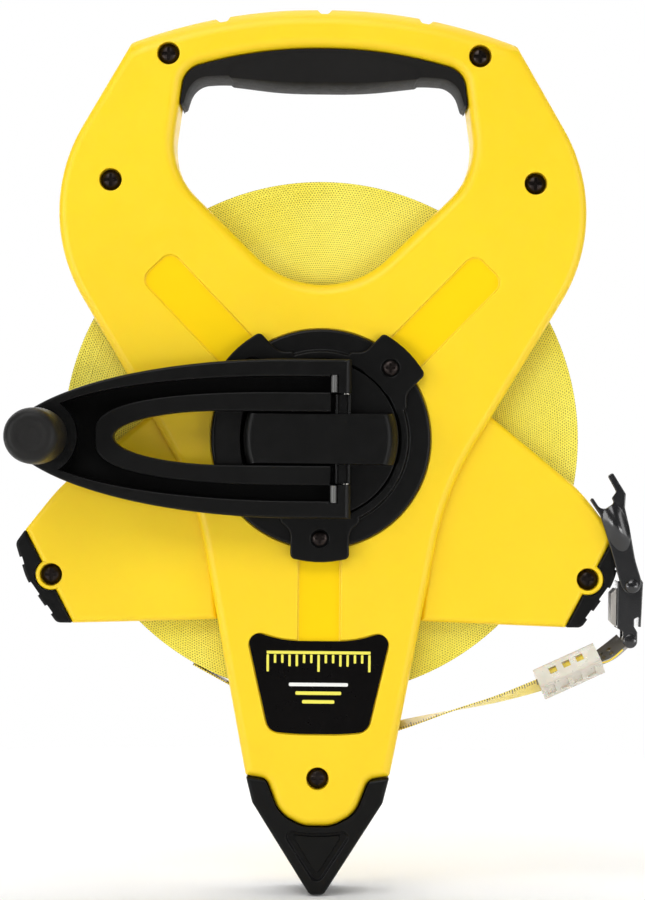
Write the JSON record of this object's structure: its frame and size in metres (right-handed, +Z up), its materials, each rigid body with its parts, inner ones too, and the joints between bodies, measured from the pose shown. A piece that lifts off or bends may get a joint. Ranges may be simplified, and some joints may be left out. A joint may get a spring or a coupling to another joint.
{
  "type": "surveyor tape reel",
  "caption": "Open-frame surveyor tape reel: a wound flat blade in a Y-shaped case with a handle opening, ground spike, geared folding crank and an end hook.",
  "frame": {"origin": "centre of the small flat end of the ground spike", "axes": "+Z up from the spike through the handle, -Y towards the crank, +X to the side where the blade leaves"},
  "size_m": [0.2358, 0.1, 0.3299],
  "materials": {
    "yellow_plastic": "satin moulded ABS",
    "black_plastic": "fine moulded texture",
    "grip_rubber": "soft touch",
    "blade": "coated glass-fibre weave",
    "label": "printed",
    "milky_plastic": "translucent",
    "nylon": "natural",
    "steel": "zinc plated",
    "black_steel": "black oxide",
    "felt": "felt"
  },
  "bodies": {
    "case": {"front_shell": "yellow_plastic", "rear_shell": "yellow_plastic", "ground_spike": "black_plastic", "left_bumper": "black_plastic", "right_bumper": "black_plastic", "grip_insert": "grip_rubber", "label_plate": "label", "handle_screw_l": "black_steel", "handle_screw_r": "black_steel", "arm_screw_l": "black_steel", "arm_screw_r": "black_steel", "wing_screw_l": "black_steel", "wing_screw_r": "black_steel", "leg_screw": "black_steel", "ring_gear": "nylon", "axle": "steel", "friction_washer": "felt", "rear_cap": "black_plastic", "hub_cover": "black_plastic", "hub_screw_1": "black_steel", "hub_screw_2": "black_steel", "hub_screw_3": "black_steel", "roller_pin": "steel", "blade_run": "blade", "end_sleeve": "milky_plastic", "end_bracket": "steel"},
    "reel": {"reel_drum": "nylon", "tape_winding": "blade", "sun_gear": "nylon"},
    "crank": {"crank_hub": "black_plastic", "hinge_pin": "steel"},
    "planet_1": {"planet_gear_1": "nylon"},
    "planet_2": {"planet_gear_2": "nylon"},
    "planet_3": {"planet_gear_3": "nylon"},
    "arm": {"crank_arm": "black_plastic", "knob_pin": "black_steel"},
    "grip_knob": {"knob": "grip_rubber"},
    "roller": {"guide_roller": "nylon"},
    "hook": {"hook_body": "black_steel", "hook_pin": "black_steel", "hook_plate": "steel", "claw_rivet": "black_steel"},
    "claw_plate": {"claw": "black_steel"}
  },
  "joints": [
    {"name": "reel_spin", "type": "hinge", "parent": "case", "child": "reel", "pos_m": [0, 0, 0.1697], "axis": [0, 1, 0], "continuous": true},
    {"name": "crank_spin", "type": "hinge", "parent": "case", "child": "crank", "pos_m": [0, -0.018, 0.1697], "axis": [0, 1, 0], "continuous": true},
    {"name": "planet_spin_1", "type": "hinge", "parent": "crank", "child": "planet_1", "pos_m": [0, -0.0123, 0.1877], "axis": [0, 1, 0], "continuous": true},
    {"name": "planet_spin_2", "type": "hinge", "parent": "crank", "child": "planet_2", "pos_m": [-0.01559, -0.0123, 0.1607], "axis": [0, 1, 0], "continuous": true},
    {"name": "planet_spin_3", "type": "hinge", "parent": "crank", "child": "planet_3", "pos_m": [0.01559, -0.0123, 0.1607], "axis": [0, 1, 0], "continuous": true},
    {"name": "crank_fold", "type": "hinge", "parent": "crank", "child": "arm", "pos_m": [0.0092, -0.0279, 0.1697], "axis": [0, 0, 1], "range_deg": [0, 180]},
    {"name": "knob_spin", "type": "hinge", "parent": "arm", "child": "grip_knob", "pos_m": [-0.1026, -0.055, 0.1697], "axis": [0, 1, 0], "continuous": true},
    {"name": "roller_spin", "type": "hinge", "parent": "case", "child": "roller", "pos_m": [0.0068, 0, 0.0617], "axis": [0, 1, 0], "continuous": true},
    {"name": "hook_swing", "type": "hinge", "parent": "case", "child": "hook", "pos_m": [0.1161, -0.007, 0.0954], "axis": [0, 1, 0], "range_deg": [0, 150]},
    {"name": "claw_swing", "type": "hinge", "parent": "hook", "child": "claw_plate", "pos_m": [0.1165, -0.015, 0.1159], "axis": [0, 1, 0], "range_deg": [0, 110]}
  ],
  "couplings": [
    {"joint": "reel_spin", "follows": "crank_spin", "ratio": 3},
    {"joint": "planet_spin_1", "follows": "crank_spin", "ratio": -4},
    {"joint": "planet_spin_2", "follows": "crank_spin", "ratio": -4},
    {"joint": "planet_spin_3", "follows": "crank_spin", "ratio": -4}
  ]
}
